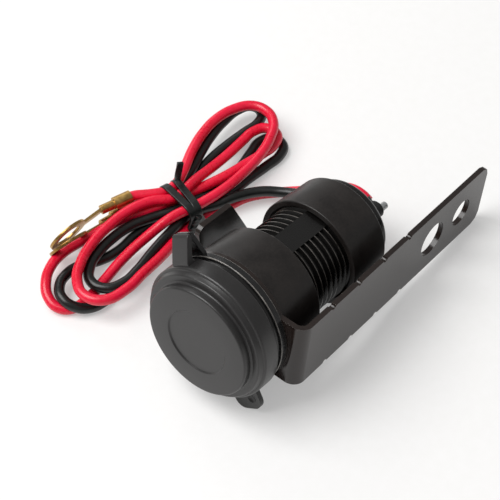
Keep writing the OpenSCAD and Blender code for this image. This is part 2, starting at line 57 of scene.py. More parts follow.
# Camera as solved from the photograph: where it stands, where it looks, its upward side
view = {"place": (0.17629, -0.24107, 0.37726), "ahead": (-0.40587, 0.48879, -0.77224),
        "up": (-0.50049, 0.58814, 0.63530), "focalPixels": 1751.2, "frame": 500, "sensor": 36,
        "clip": (0.05, 5)}

camera = bpy.data.objects.new("camera", bpy.data.cameras.new("camera"))
scene.collection.objects.link(camera)
scene.camera = camera
camera.data.sensor_width = view["sensor"]
camera.data.lens = view["focalPixels"] * view["sensor"] / view["frame"]
camera.data.clip_start, camera.data.clip_end = view["clip"]
behind = -Vector(view["ahead"]).normalized()
rightward = Vector(view["up"]).cross(behind).normalized()
camera.matrix_world = (Matrix.Translation(view["place"])
                       @ Matrix((rightward, behind.cross(rightward), behind)).transposed().to_4x4())
print("camera set")


# Materials
def hexColour(text):
    parts = [int(text[i:i + 2], 16) / 255 for i in (1, 3, 5)]
    return (*[c / 12.92 if c <= 0.04045 else ((c + 0.055) / 1.055) ** 2.4 for c in parts], 1)


def addNode(material, kind, values={}, links={}, **settings):
    node = material.node_tree.nodes.new(kind)
    for name, value in settings.items():
        setattr(node, name, value)
    for name, value in values.items():
        node.inputs[name].default_value = value
    for name, (source, output) in links.items():
        material.node_tree.links.new(source.outputs[output], node.inputs[name])
    return node


# A surface whose colour, gloss and fine relief all vary: grain is the size of its specks in mm,
# relief how deep they are in mm, drift the size of the slow change over the piece in mm,
# speck the share of the specks in the colour and gloss
def madeSurface(name, low, high, gloss, grain, relief, drift=14, speck=0.5, metal=0.0, shine=0.5):
    material = bpy.data.materials.new(name)
    material.use_nodes = True
    material.node_tree.nodes.clear()
    spot = addNode(material, "ShaderNodeTexCoord")
    fine = addNode(material, "ShaderNodeTexNoise", {"Scale": 1 / (grain * mm), "Detail": 3, "Roughness": 0.6},
                   {"Vector": (spot, "Object")})
    slow = addNode(material, "ShaderNodeTexNoise", {"Scale": 1 / (drift * mm), "Detail": 2},
                   {"Vector": (spot, "Object")})
    both = addNode(material, "ShaderNodeMix", {"Factor": speck}, {2: (slow, "Fac"), 3: (fine, "Fac")})
    tone = addNode(material, "ShaderNodeValToRGB", links={"Fac": (both, 0)})
    darkest, lightest = tone.color_ramp.elements
    darkest.position, darkest.color = 0.35, hexColour(low)
    lightest.position, lightest.color = 0.65, hexColour(high)
    rough = addNode(material, "ShaderNodeMapRange",
                    {"From Min": 0.3, "From Max": 0.7, "To Min": gloss[0], "To Max": gloss[1]},
                    {"Value": (both, 0)})
    bump = addNode(material, "ShaderNodeBump", {"Strength": 1, "Distance": relief * mm},
                   {"Height": (fine, "Fac")})
    shader = addNode(material, "ShaderNodeBsdfPrincipled", {"Metallic": metal, "Specular IOR Level": shine},
                     {"Base Color": (tone, "Color"), "Roughness": (rough, 0), "Normal": (bump, "Normal")})
    addNode(material, "ShaderNodeOutputMaterial", links={"Surface": (shader, 0)})
    return material


finishes = {
    # Moulded EPDM: matt, greyed by a thin bloom, finely pebbled
    "capRubber": madeSurface("capRubberMoulded", "#1f1e1e", "#2b2a2a", (0.28, 0.4), 0.35, 0.005),
    # The same rubber on the anchor ring, its leaf and the web, painted darker as the shade they lie in behind
    # the cap, with a shine
    "strapRubberShaded": madeSurface("strapRubberShadedGlossy", "#131313", "#1d1d1e", (0.2, 0.32), 0.5, 0.01),
    # Its thin rim, painted light grey in a broken line as a highlight
    "rimPaintedHighlight": madeSurface("rubberRimPaintedHighlight", "#2c2b2a", "#8d8984", (0.18, 0.3), 2.5, 0.004, drift=7),
    # Glass-filled nylon from a spark-eroded mould: dark and satin
    "barrelNylon": madeSurface("barrelNylonMoulded", "#080707", "#100f0e", (0.22, 0.34), 0.3, 0.004),
    # The thread's crests, painted light grey as the highlight lines along them
    "crestHighlight": madeSurface("barrelNylonCrestHighlight", "#2a2826", "#67625e", (0.2, 0.32), 1.2, 0.004, drift=6),
    # The nuts' nylon: duller, with a faint cloudy dust
    "nutNylon": madeSurface("nutNylonMoulded", "#151211", "#25211f", (0.32, 0.5), 0.6, 0.006, drift=6,
                            shine=0.42),
    # Black stoved paint on folded steel: smooth, faintly brown, slight orange peel
    "blackPaint": madeSurface("steelBlackPaint", "#1f1816", "#261e1b", (0.15, 0.22), 1.3, 0.003, shine=0.45),
    # Its cut edges: the paint rubbed thin there, and bright in places with painted glints as highlights
    "edgeWearAndGlint": madeSurface("steelRubbedEdgeAndGlint", "#1b1716", "#b5afa7", (0.22, 0.4), 2.2, 0.008,
                            drift=9, speck=0.6, metal=0.4),
    # Face plate: plain matt black
    "platePlastic": madeSurface("absBlackMoulded", "#101010", "#181818", (0.4, 0.5), 0.3, 0.006),
    # Port shells: bright pressed sheet, slightly milky
    "tinnedSteel": madeSurface("steelTinned", "#b9babc", "#cfd0d1", (0.22, 0.34), 0.8, 0.003, metal=1.0),
    # Tongues: off-white and matt
    "whitePlastic": madeSurface("pbtWhiteMoulded", "#e4e2da", "#efede6", (0.4, 0.5), 0.3, 0.004),
    # Contacts: pale gold, nearly mirror-like
    "giltContact": madeSurface("goldFlash", "#d9b45c", "#e6c677", (0.2, 0.3), 0.5, 0.002, metal=1.0),
    # Circuit board: green lacquer, glossy and a little uneven
    "boardGreen": madeSurface("boardSolderMask", "#0d4a2a", "#155c36", (0.25, 0.35), 1.5, 0.01),
    # Parts on the board: dull black chip, grey ferrite, bright can, tan ceramic
    "chipBlack": madeSurface("chipEpoxy", "#151515", "#1f1f1f", (0.5, 0.6), 0.2, 0.004),
    "ferrite": madeSurface("ferriteSintered", "#2a2a2c", "#38383b", (0.5, 0.65), 0.3, 0.01),
    "capacitorCan": madeSurface("aluminiumCan", "#a9adb3", "#c2c5ca", (0.25, 0.4), 1.2, 0.004, metal=1.0),
    "ceramic": madeSurface("ceramicFired", "#8d7a60", "#a08c70", (0.35, 0.5), 0.4, 0.004),
    # Rear pins: nickel, bright but brushed soft
    "pinSteel": madeSurface("steelNickelPlated", "#bdbfc0", "#d6d7d7", (0.32, 0.45), 0.9, 0.004, metal=1.0),
    # Boots: soft black rubber without shine
    "bootRubber": madeSurface("bootRubberMoulded", "#131313", "#1b1b1b", (0.45, 0.6), 0.3, 0.008),
    # Extruded soft PVC: even colour, faint drawn sheen
    "redInsulation": madeSurface("pvcRedExtruded", "#da062c", "#ec1840", (0.24, 0.34), 1.0, 0.005),
    "blackInsulation": madeSurface("pvcBlackExtruded", "#0c0d0d", "#161817", (0.26, 0.38), 1.0, 0.006,
                                   shine=0.45),
    # Twist tie: rolled black plastic, slightly glossy
    "tiePlastic": madeSurface("tiePlasticRolled", "#101212", "#1c1f1e", (0.24, 0.36), 0.8, 0.008),
    # Stamped brass, tarnished a little in the hand
    "terminalBrass": madeSurface("brassStamped", "#8f6a35", "#c9a566", (0.24, 0.4), 1.1, 0.006, metal=1.0),
}
print("finishes made", len(finishes))


# Shaping: a closed profile of (radius, place along the axis) turned about the Y axis
def lathe(profile, steps=160):
    bm = bmesh.new()
    points = [bm.verts.new((r, y, 0)) for r, y in profile]
    rim = [bm.edges.new(pair) for pair in zip(points, points[1:] + points[:1])]
    bmesh.ops.spin(bm, geom=points + rim, cent=(0, 0, 0), axis=(0, 1, 0), angle=fullTurn, steps=steps,
                   use_merge=True, use_duplicate=False)
    bmesh.ops.remove_doubles(bm, verts=bm.verts, dist=0.001)
    bmesh.ops.dissolve_degenerate(bm, edges=bm.edges, dist=0.0005)
    return bm


# Points round a corner of radius r about (x, y), from angle a0 to a1 in degrees
def roundTo(x, y, r, a0, a1, n=6):
    return [(x + r * math.cos(math.radians(a0 + (a1 - a0) * i / n)),
             y + r * math.sin(math.radians(a0 + (a1 - a0) * i / n))) for i in range(n + 1)]


# A flat outline of (u, v) drawn on a plane, its marked corners rounded, and thickened along the normal
def slab(outline, thickness, plane=Matrix.Identity(4), corners=(), radius=1.0, segments=6):
    bm = bmesh.new()
    points = [bm.verts.new((u, v, 0)) for u, v in outline]
    bm.faces.new(points)
    if corners:
        bmesh.ops.bevel(bm, geom=[points[i] for i in corners], offset=radius, offset_type="OFFSET",
                        segments=segments, profile=0.5, affect="VERTICES", material=-1)
    raised = bmesh.ops.extrude_face_region(bm, geom=bm.faces[:])["geom"]
    bmesh.ops.translate(bm, vec=(0, 0, thickness),
                        verts=[v for v in raised if isinstance(v, bmesh.types.BMVert)])
    bmesh.ops.transform(bm, matrix=plane, verts=bm.verts)
    return bm


def joined(*parts):
    whole = bmesh.new()
    for part in parts:
        carrier = bpy.data.meshes.new("carrier")
        part.to_mesh(carrier)
        part.free()
        whole.from_mesh(carrier)
        bpy.data.meshes.remove(carrier)
    return whole


# One closed shape with another cut out of it
def carved(*shapes):
    bodies = []
    for shape in shapes:
        bmesh.ops.recalc_face_normals(shape, faces=shape.faces)
        mesh = bpy.data.meshes.new("stock")
        shape.to_mesh(mesh)
        shape.free()
        body = bpy.data.objects.new("stock", mesh)
        scene.collection.objects.link(body)
        bodies.append(body)
    stock, tool = bodies
    cut = stock.modifiers.new("cut", "BOOLEAN")
    cut.object, cut.operation, cut.solver = tool, "DIFFERENCE", "EXACT"
    done = bpy.data.meshes.new_from_object(stock.evaluated_get(bpy.context.evaluated_depsgraph_get()))
    result = bmesh.new()
    result.from_mesh(done)
    for mesh in (stock.data, tool.data, done):
        bpy.data.meshes.remove(mesh)
    return result


# A solid's own shape, its loose triangles merged and its flat faces made whole again
def copied(name):
    bm = bmesh.new()
    bm.from_mesh(nodes[name].data)
    bmesh.ops.remove_doubles(bm, verts=bm.verts, dist=0.002 * mm)
    bmesh.ops.dissolve_limit(bm, angle_limit=math.radians(0.8), verts=bm.verts, edges=bm.edges)
    return bm


# Place None leaves a copied solid where it is, and limit is the angle in degrees that makes an edge
def addPiece(name, bm, finish, body, place=socketPlace, bevel=0.0, segments=2, limit=32, stands=(),
             edgeFinish=None):
    if place is not None:
        bmesh.ops.transform(bm, matrix=place, verts=bm.verts)
        bmesh.ops.recalc_face_normals(bm, faces=bm.faces)
    mesh = bpy.data.meshes.new(name)
    bm.to_mesh(mesh)
    bm.free()
    mesh.polygons.foreach_set("use_smooth", [True] * len(mesh.polygons))
    mesh.materials.append(finishes[finish])
    piece = bpy.data.objects.new(name, mesh)
    scene.collection.objects.link(piece)
    if bevel:
        rounding = piece.modifiers.new("rounding", "BEVEL")
        rounding.width, rounding.segments = bevel * mm, segments
        rounding.limit_method, rounding.angle_limit = "ANGLE", math.radians(limit)
        evened = piece.modifiers.new("evened", "WEIGHTED_NORMAL")
        evened.keep_sharp = True
        if edgeFinish:
            mesh.materials.append(finishes[edgeFinish])
            rounding.material = 1
    else:
        mesh.set_sharp_from_angle(angle=math.radians(limit))
    if body:
        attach(piece, body)
    if stands:
        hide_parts(*stands)
    return piece


# Wires: each is one cord from its boot, through the tied hank, to its ring terminal
wire = {"diameter": 3.0, "exitRed": (2.2, 70.4, 15.5), "exitBlack": (-6.6, 68.6, 11.3),
        "stepsAlong": 6, "stepsAround": 5}
redRoute = [
    (0.9, 70.4, 16.1), (-1.6, 70.5, 17), (-4.9, 70.6, 16.7), (-8.8, 70.8, 14.2), (-13.6, 71.2, 9.7),
    (-18.4, 71.6, 5.4), (-22.5, 70.9, 2.7), (-25.9, 68.8, 1.7), (-29, 65.8, 1.6), (-31.8, 62.5, 1.6),
    (-34, 58.7, 1.6), (-35.2, 54.6, 1.6), (-36.3, 50.8, 1.7), (-38, 46.8, 1.6), (-38.7, 43.4, 1.5),
    (-38.5, 38.6, 1.8), (-37.2, 33.1, 3.4), (-35.5, 25.7, 5.2), (-34.5, 17.2, 6.6), (-34, 10, 7.1),
    (-36, 3.4, 7.1), (-40.9, 1.1, 7.1), (-46, 3.4, 7.1), (-49.7, 8.8, 7.1), (-51.9, 15.2, 7.1),
    (-52.8, 22.5, 7.1), (-52.2, 30.6, 7.4), (-49.9, 36.9, 7.5), (-45.8, 42.7, 7.2), (-45.6, 50.8, 7.4),
    (-46.2, 59.6, 5.6), (-46.6, 67, 4.7), (-47.1, 74, 4.3), (-47.1, 78.6, 4.3), (-45, 82.1, 4.3),
    (-41.2, 82.2, 4.3), (-39.1, 78.6, 4.3), (-39.4, 73.4, 4.3), (-40.3, 66.4, 4.7), (-41.2, 58.8, 5.6),
    (-44.4, 49.8, 5), (-46.7, 43.4, 4.5), (-49.4, 36.6, 4.6), (-53.4, 29, 4.2), (-55.3, 21.8, 4),
    (-56.9, 14.8, 4.1), (-57.5, 9.2, 4.3), (-56.6, 3.8, 4.3), (-54, -0.8, 3.9), (-50.3, -3.6, 2.8),
    (-46.4, -3.7, 1.8), (-43.5, -0.8, 1.5), (-43, 4.2, 1.5), (-43.8, 11, 1.5), (-44.3, 18.8, 2.8),
    (-43.5, 28.4, 4.8), (-41.6, 37, 7), (-39, 45, 7.2), (-37.3, 53.9, 7.3), (-37.2, 61.6, 7.1),
    (-37.9, 70.2, 7.1), (-39.9, 77.5, 7.2), (-43.2, 83, 7.2), (-48, 85.4, 7.1), (-52.5, 84.2, 7.1),
    (-55.6, 79.6, 7.1), (-56.8, 73.4, 7.1), (-56.1, 66.6, 7.1), (-54, 59.6, 7.2), (-50.4, 51.4, 7.3),
    (-48.8, 46.2, 7.2), (-49.5, 42.4, 7.2), (-51.3, 39.8, 7.2), (-53.2, 37.7, 7.2), (-54.6, 36.2, 7.2),
    (-55.5, 34.5, 7.2), (-56.4, 32, 7.1)]
blackRoute = [
    (-7.6, 68.5, 11), (-10.6, 68.2, 9.5), (-14.6, 68, 7.9), (-18.4, 67.8, 6.6), (-22.1, 67.1, 5.2),
    (-25.6, 65.5, 4.6), (-29.2, 62.9, 4.6), (-31.6, 60.3, 4.6), (-33.4, 57.4, 4.7), (-34.9, 54.2, 4.9),
    (-36.6, 50.2, 4.6), (-38.6, 46.8, 4.5), (-40.2, 42.6, 4.3), (-39.8, 33.6, 4.4), (-38.7, 25.2, 4.6),
    (-37.6, 18, 4.4), (-37.6, 12.6, 4.4), (-40, 8, 4.4), (-44.8, 7.2, 4.4), (-48.4, 10.8, 4.5),
    (-50.1, 16.2, 4.5), (-50.6, 22, 4.4), (-50, 28.4, 4.2), (-47.5, 34.8, 4.2), (-44.2, 41, 4.4),
    (-42.9, 47.1, 3.8), (-41.8, 55, 2.5), (-41.8, 61.7, 1.7), (-42.6, 68, 1.5), (-43.9, 73.8, 1.5),
    (-44.7, 78.4, 1.5), (-42.9, 82, 1.5), (-38.8, 82.1, 1.5), (-36.8, 78.6, 1.5), (-37, 72.5, 1.5),
    (-37.7, 66.2, 1.5), (-38.2, 59.8, 1.5), (-39, 54.6, 1.5), (-40.6, 49.4, 1.5), (-42, 43.6, 1.5),
    (-41.6, 37.1, 1.5), (-40.2, 31, 1.7), (-39.3, 24.8, 1.9), (-38.7, 18.4, 1.5), (-38.5, 12, 1.5),
    (-38.8, 6.6, 1.5), (-40, 2, 1.8), (-42.5, -1.1, 2.9), (-46.4, -2, 4.1), (-50, 0.4, 4.3),
    (-51.7, 5.2, 4), (-51.4, 10.4, 3), (-49.5, 15.4, 1.8), (-48, 21.8, 1.5), (-48.2, 28.4, 1.5),
    (-47.2, 35.6, 1.5), (-45.6, 42.4, 1.6), (-47.2, 49, 1.6), (-49.7, 55.5, 1.6), (-50.6, 62.4, 2.2),
    (-50, 70.4, 3.2), (-48.9, 77, 4), (-48.3, 82, 4.2), (-50.2, 85.9, 4.2), (-54, 86.1, 4.3),
    (-56.1, 82.4, 4.3), (-56.3, 76.4, 4.3), (-55.2, 69, 4.3), (-53.2, 62, 4.2), (-51, 55.6, 4.2),
    (-49.5, 49.6, 3.9), (-48.8, 45, 2.6), (-49.5, 41.6, 2.3), (-51.2, 39.5, 2.8), (-53.3, 38, 2.7),
    (-55, 36.2, 2.4), (-55.8, 33.8, 2.5), (-56.2, 30.9, 2.8)]


# Returns the wire's length in metres, measured along its points
def layWire(name, route, finish, stands):
    data = bpy.data.curves.new(name, "CURVE")
    data.dimensions, data.resolution_u = "3D", wire["stepsAlong"]
    data.bevel_depth, data.bevel_resolution = wire["diameter"] / 2 * mm, wire["stepsAround"]
    data.use_fill_caps = True
    line = data.splines.new("BEZIER")
    line.bezier_points.add(len(route) - 1)
    for point, place in zip(line.bezier_points, route):
        point.co = tablePlace @ Vector(place)
        point.handle_left_type = point.handle_right_type = "AUTO"
    data.materials.append(finishes[finish])
    piece = bpy.data.objects.new(name, data)
    scene.collection.objects.link(piece)
    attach(piece, "socket")
    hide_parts(*stands)
    return sum((tablePlace @ Vector(b) - tablePlace @ Vector(a)).length for a, b in zip(route, route[1:]))


redLength = layWire("redWire", redRoute, "redInsulation",
                    ("red_wire_lead", "wire_hank", "red_wire_tail"))
blackLength = layWire("blackWire", blackRoute, "blackInsulation",
                      ("black_wire_lead", "black_wire_tail"))
print("wires laid", round(redLength, 3), round(blackLength, 3))

# Cap: recessed face, stepped shoulder and plain skirt, its rounds named for where they are
cap = {"face": 16.0, "faceRound": 0.6, "recess": 9.5, "recessDeep": 0.35, "recessSlope": 0.4,
       "step": 2.6, "stepOut": 0.5, "stepRound": 0.6, "ledgeOut": 1.7, "ledgeRound": 0.5,
       "shoulderBack": 2.1, "shoulderRound": 0.7, "skirt": 19.3, "rimRound": 0.4, "length": 9.2,
       "wall": 1.9, "bore": 16.75, "boreBack": 1.4, "wellIn": 1.8, "wellFloorIn": 2.2}
boreFloor = cap["step"] + cap["boreBack"]
capShape = lathe(
    [(0, cap["recessDeep"]), (cap["recess"] - cap["recessSlope"], cap["recessDeep"]), (cap["recess"], 0)]
    + roundTo(cap["face"] - cap["faceRound"], cap["faceRound"], cap["faceRound"], -90, 0)
    + roundTo(cap["face"] + cap["stepOut"], cap["step"] - cap["stepRound"], cap["stepRound"], 180, 90)
    + roundTo(cap["face"] + cap["ledgeOut"], cap["step"] + cap["ledgeRound"], cap["ledgeRound"], -90, 0)
    + roundTo(cap["skirt"] - cap["shoulderRound"], cap["step"] + cap["shoulderBack"],
              cap["shoulderRound"], -90, 0)
    + roundTo(cap["skirt"] - cap["rimRound"], cap["length"] - cap["rimRound"], cap["rimRound"], 0, 90)
    + [(cap["bore"], cap["length"]), (cap["bore"], boreFloor), (cap["face"] - cap["wellIn"], boreFloor),
       (cap["face"] - cap["wellFloorIn"], cap["wall"]), (0, cap["wall"])])
addPiece("capBody", capShape, "capRubber", "cap", stands=("protective_cap",))

acrossFace = Matrix.Rotation(math.radians(90), 4, "X")  # a flat outline turned to face along -Y


def around(angle):
    return Matrix.Rotation(math.radians(-angle), 4, "Y")


# Pull tab, with a shallow dimple for the thumb
tab = {"angle": -55.5, "root": 0.6, "reach": 24.9, "halfWide": 4.5, "thick": 1.4, "corner": 2.8,
       "edge": 0.3, "dimple": 2.0, "dimpleIn": 3.2, "dimpleAbove": 1.4, "dimpleAside": 1.8}
tabShape = slab([(cap["bore"] + tab["root"], -tab["halfWide"]), (tab["reach"], -tab["halfWide"]),
                 (tab["reach"], tab["halfWide"]), (cap["bore"] + tab["root"], tab["halfWide"])],
                tab["thick"], acrossFace, corners=(1, 2), radius=tab["corner"])
bmesh.ops.translate(tabShape, vec=(0, cap["length"], 0), verts=tabShape.verts)
dimplePlace = (tab["reach"] - tab["dimpleIn"], cap["length"] - tab["thick"] - tab["dimpleAbove"],
               tab["dimpleAside"])
dimple = bmesh.new()
bmesh.ops.create_uvsphere(dimple, u_segments=32, v_segments=16, radius=tab["dimple"],
                          matrix=Matrix.Translation(dimplePlace))
tabShape = carved(tabShape, dimple)
bmesh.ops.transform(tabShape, matrix=around(tab["angle"]), verts=tabShape.verts)
addPiece("pullTab", tabShape, "capRubber", "cap", bevel=tab["edge"], segments=3)

# Strap: the block on the cap, the leaf on its anchor ring, and the thin web between them.
# Points beside a rim are (outwards from it, along the socket's axis)
strap = {"angle": 125.5, "reach": 26.0, "hingeLine": 9.95, "gap": 0.2}
block = {"wide": 6.0, "round": 1.5, "roundUp": 0.35, "heelIn": 1.2, "edge": 0.22,
         "front": [(-1.2, 5.0), (0.6, 5.3)], "rear": [(0.8, 7.4), (0, 8.0), (-1.2, 8.0)]}
anchor = {"outer": 18.7, "inner": 13.65, "front": 11.15, "thick": 2.0, "edge": 0.22}
leaf = {"wide": 4.4, "round": 1.2, "roundIn": 1.3, "roundBack": 0.4, "heelIn": 1.2, "tipIn": 0.1,
        "edge": 0.2, "front": [(-1.2, 11.35), (0.6, 11.35)], "rear": [(0.4, 12.85), (-1.2, 12.85)]}
web = {"wide": 4.0, "in": 0.9, "outer": 0.95, "inner": 0.6, "bend": 80, "steps": 10, "blendHalf": 0.6}


def besideRim(radius, points):
    return [(radius + outward, along) for outward, along in points]


# An outline across the strap, thickened to its width and turned to the strap's angle
def acrossStrap(outline, wide):
    shape = slab(outline, wide, Matrix.Translation((0, 0, -wide / 2)))
    bmesh.ops.transform(shape, matrix=around(strap["angle"]), verts=shape.verts)
    return shape


blockShape = acrossStrap(
    besideRim(cap["skirt"], block["front"])
    + roundTo(strap["reach"] - block["round"], strap["hingeLine"] - block["roundUp"], block["round"], -70, 0)
    + [(strap["reach"] - block["heelIn"], strap["hingeLine"] - strap["gap"])]
    + besideRim(cap["skirt"], block["rear"]), block["wide"])
addPiece("strapBlock", blockShape, "capRubber", "cap", bevel=block["edge"])

anchorBack = anchor["front"] + anchor["thick"]
ringShape = lathe([(anchor["inner"], anchor["front"]), (anchor["outer"], anchor["front"]),
                   (anchor["outer"], anchorBack), (anchor["inner"], anchorBack)])
# The anchor ring takes the rubber painted darker as shade, and its rounded rim a painted highlight
addPiece("anchorRing", ringShape, "strapRubberShaded", "socket", stands=("cap_anchor_ring",),
         bevel=anchor["edge"], segments=3, limit=50, edgeFinish="rimPaintedHighlight")

# The leaf and the web take the same rubber, painted darker as shade
leafFront = strap["hingeLine"] + strap["gap"]
leafShape = acrossStrap(
    besideRim(anchor["outer"], leaf["front"])
    + [(strap["reach"] - leaf["heelIn"], leafFront), (strap["reach"] - leaf["tipIn"], leafFront)]
    + roundTo(strap["reach"] - leaf["roundIn"], strap["hingeLine"] + leaf["roundBack"], leaf["round"], 0, 80)
    + besideRim(anchor["outer"], leaf["rear"]), leaf["wide"])
addPiece("anchorLeaf", leafShape, "strapRubberShaded", "socket", bevel=leaf["edge"])

webCentre = (strap["reach"] - web["in"], strap["hingeLine"])
webShape = acrossStrap(roundTo(*webCentre, web["outer"], -web["bend"], web["bend"], web["steps"])
                       + roundTo(*webCentre, web["inner"], web["bend"], -web["bend"], web["steps"]),
                       web["wide"])
webPiece = addPiece("hingeWeb", webShape, "strapRubberShaded", None)
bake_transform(webPiece)
print("cap and strap made")

# Barrel: collar, flange, core and plain tail, with profile points as (radius, along the axis)
barrel = {"collar": [(14.5, 4.5), (14.8, 4.2), (15.7, 4.2), (16.1, 4.6), (16.6, 8.5), (16.6, 9.5)],
          "flange": 18.0, "flangeAt": 9.8, "flangeRound": 0.3, "flangeBack": 11.1,
          "neck": [(13.55, 11.1), (13.55, 15.5)], "core": 12.4, "coreEnds": (15.8, 59.6),
          "tailLip": [(12.95, 59.8), (13.0, 60.1)], "tailWide": 13.0, "tailRound": 1.4, "tail": 63.5,
          "bore": 11.4, "mouth": [(11.4, 7.3), (14.5, 7.3)]}
coreShape = lathe(
    barrel["collar"] + roundTo(barrel["flange"] - barrel["flangeRound"], barrel["flangeAt"],
                               barrel["flangeRound"], -90, 0, 3)
    + [(barrel["flange"], barrel["flangeBack"])] + barrel["neck"]
    + [(barrel["core"], end) for end in barrel["coreEnds"]] + barrel["tailLip"]
    + roundTo(barrel["tailWide"] - barrel["tailRound"], barrel["tail"] - barrel["tailRound"],
              barrel["tailRound"], 0, 90)
    + [(barrel["bore"], barrel["tail"])] + barrel["mouth"], 144)

# Helical thread with two flats: each ridge rises from root to crest and back in shares of the pitch
thread = {"crest": 13.6, "root": 12.6, "inner": 12.0, "pitch": 2.0, "from": 15.6, "to": 59.8, "runOut": 0.4,
          "ridge": (("root", -0.75), ("crest", -0.5), ("crest", -0.36), ("root", -0.11)), "steps": 120,
          "flat": 13.15, "flatAngles": (86, 266), "landRaised": 0.03, "landIn": 0.05, "landSunk": 0.5,
          "landShort": 0.2, "highlightArea": 1.0, "near": 0.02}


# The smooth land of a flat, level with the crests cut there
def flatLand(angle):
    halfWide = math.sqrt(thread["crest"] ** 2 - thread["flat"] ** 2) - thread["landIn"]
    height, foot = thread["flat"] + thread["landRaised"], barrel["core"] - thread["landSunk"]
    rear = thread["to"] - thread["landShort"]
    land = slab([(foot, thread["from"]), (height, thread["from"]), (height, rear), (foot, rear)],
                2 * halfWide, Matrix.Translation((0, 0, -halfWide)))
    bmesh.ops.transform(land, matrix=around(angle), verts=land.verts)
    return land


# The ridges wound up as one strip, cut square at both ends, closed inside and trimmed at the flats
def threadSleeve():
    bm = bmesh.new()
    turns = int((thread["to"] - thread["from"]) / thread["pitch"]) + 4
    start = thread["to"] - thread["runOut"] - (turns - 1) * thread["pitch"]
    line = [bm.verts.new((thread[level], start + (i + share) * thread["pitch"], 0))
            for i in range(turns) for level, share in thread["ridge"]]
    edges = [bm.edges.new(pair) for pair in zip(line, line[1:])]
    bmesh.ops.spin(bm, geom=line + edges, cent=(0, 0, 0), axis=(0, 1, 0), angle=fullTurn,
                   steps=thread["steps"], dvec=(0, thread["pitch"] / thread["steps"], 0),
                   use_merge=False, use_duplicate=False)
    bmesh.ops.remove_doubles(bm, verts=bm.verts, dist=0.01)
    for y, normal in ((thread["from"], -1), (thread["to"], 1)):
        bmesh.ops.bisect_plane(bm, geom=bm.verts[:] + bm.edges[:] + bm.faces[:], dist=0.0001,
                               plane_co=(0, y, 0), plane_no=(0, normal, 0), clear_outer=True)
    circles = []
    for y in (thread["from"], thread["to"]):
        rim = [e for e in bm.edges if e.is_boundary and all(abs(v.co.y - y) < 0.01 for v in e.verts)]
        ring = bmesh.ops.create_circle(bm, segments=thread["steps"], radius=thread["inner"],
                                       matrix=Matrix.Translation((0, y, 0)) @ acrossFace)["verts"]
        ringEdges = list({e for v in ring for e in v.link_edges})
        bmesh.ops.bridge_loops(bm, edges=rim + ringEdges)
        circles += ringEdges
    bmesh.ops.bridge_loops(bm, edges=circles)
    for angle in thread["flatAngles"]:
        outward = Vector((math.cos(math.radians(angle)), 0, math.sin(math.radians(angle))))
        bmesh.ops.bisect_plane(bm, geom=bm.verts[:] + bm.edges[:] + bm.faces[:], dist=0.0001,
                               plane_co=outward * thread["flat"], plane_no=outward, clear_outer=True)
    bmesh.ops.holes_fill(bm, edges=[e for e in bm.edges if e.is_boundary], sides=0)
    return bm


lands = [flatLand(angle) for angle in thread["flatAngles"]]
barrelShape = joined(coreShape, threadSleeve(), *lands)
for face in barrelShape.faces:  # the tops of the thread, which take the painted highlight
    reach = [abs(math.hypot(v.co.x, v.co.z) - thread["crest"]) for v in face.verts]
    face.material_index = int(max(reach) < thread["near"] and face.calc_area() < thread["highlightArea"])
threaded = addPiece("threadedBarrel", barrelShape, "barrelNylon", "socket", stands=("socket_barrel",),
                    limit=25)
threaded.data.materials.append(finishes["crestHighlight"])

# Ring nuts: where each starts, its radius there and at its rear, and what both share
nut = {"front": (14.75, 17.7, 17.0), "rear": (45.2, 15.8, 15.2), "length": 14.3, "hole": 13.68,
       "frontRound": 0.35, "rearRound": 0.5, "frontLead": 0.6, "rearLead": 0.5}


def nutShape(start, frontWide, rearWide):
    end = start + nut["length"]
    return lathe([(nut["hole"], start + nut["frontLead"]), (nut["hole"] + nut["frontLead"], start)]
                 + roundTo(frontWide - nut["frontRound"], start + nut["frontRound"],
                           nut["frontRound"], -90, 0)
                 + roundTo(rearWide - nut["rearRound"], end - nut["rearRound"], nut["rearRound"], 0, 90)
                 + [(nut["hole"] + nut["rearLead"], end), (nut["hole"], end - nut["rearLead"])])


addPiece("frontNut", nutShape(*nut["front"]), "nutNylon", "socket", stands=("front_ring_nut",))
addPiece("rearNut", nutShape(*nut["rear"]), "nutNylon", "rear_nut", stands=("rear_ring_nut",))
print("barrel and nuts made")

# Hardware that keeps its solid's shape: the bracket's sheet is rounded along its edges, which are rubbed and
# bright with painted glints
edgeRound = {"bracket": 0.16, "boot": 0.3, "terminal": 0.08}
addPiece("bracket", copied("mounting_bracket"), "blackPaint", "socket", place=None,
         bevel=edgeRound["bracket"], limit=40, stands=("mounting_bracket",),
         edgeFinish="edgeWearAndGlint")
for name, node in (("bootPositive", "positive_boot"), ("bootNegative", "negative_boot")):
    addPiece(name, copied(node), "bootRubber", "socket", place=None, bevel=edgeRound["boot"], segments=3,
             stands=(node,))
for name, node in (("terminalRed", "red_ring_terminal"), ("terminalBlack", "black_ring_terminal")):
    addPiece(name, copied(node), "terminalBrass", "socket", place=None, bevel=edgeRound["terminal"],
             stands=(node,))

# Twist tie: two flat wraps, one end standing up and the other twisted into a knot
tie = {"middle": (-43.8, 43.6), "turn": -14, "halfWide": 7.5, "top": 9.5, "wide": 2.2, "thick": 0.9,
       "apart": 1.4, "slant": 0.5, "round": 3.4, "roundSteps": 14, "edge": 0.3,
       "upright": {"length": 6.6, "turns": 0.2, "wide": 1.9, "thick": 1.0, "foot": (-5.6, 2.2, 8.7),
                   "lean": -0.2},
       "knot": {"length": 6.5, "turns": 1.2, "wide": 1.9, "thick": 1.2, "foot": (7.7, -2.6, 1.2),
                "lean": -0.5}}
tiePlace = (tablePlace @ Matrix.Translation((*tie["middle"], 0))
            @ Matrix.Rotation(math.radians(tie["turn"]), 4, "Z"))


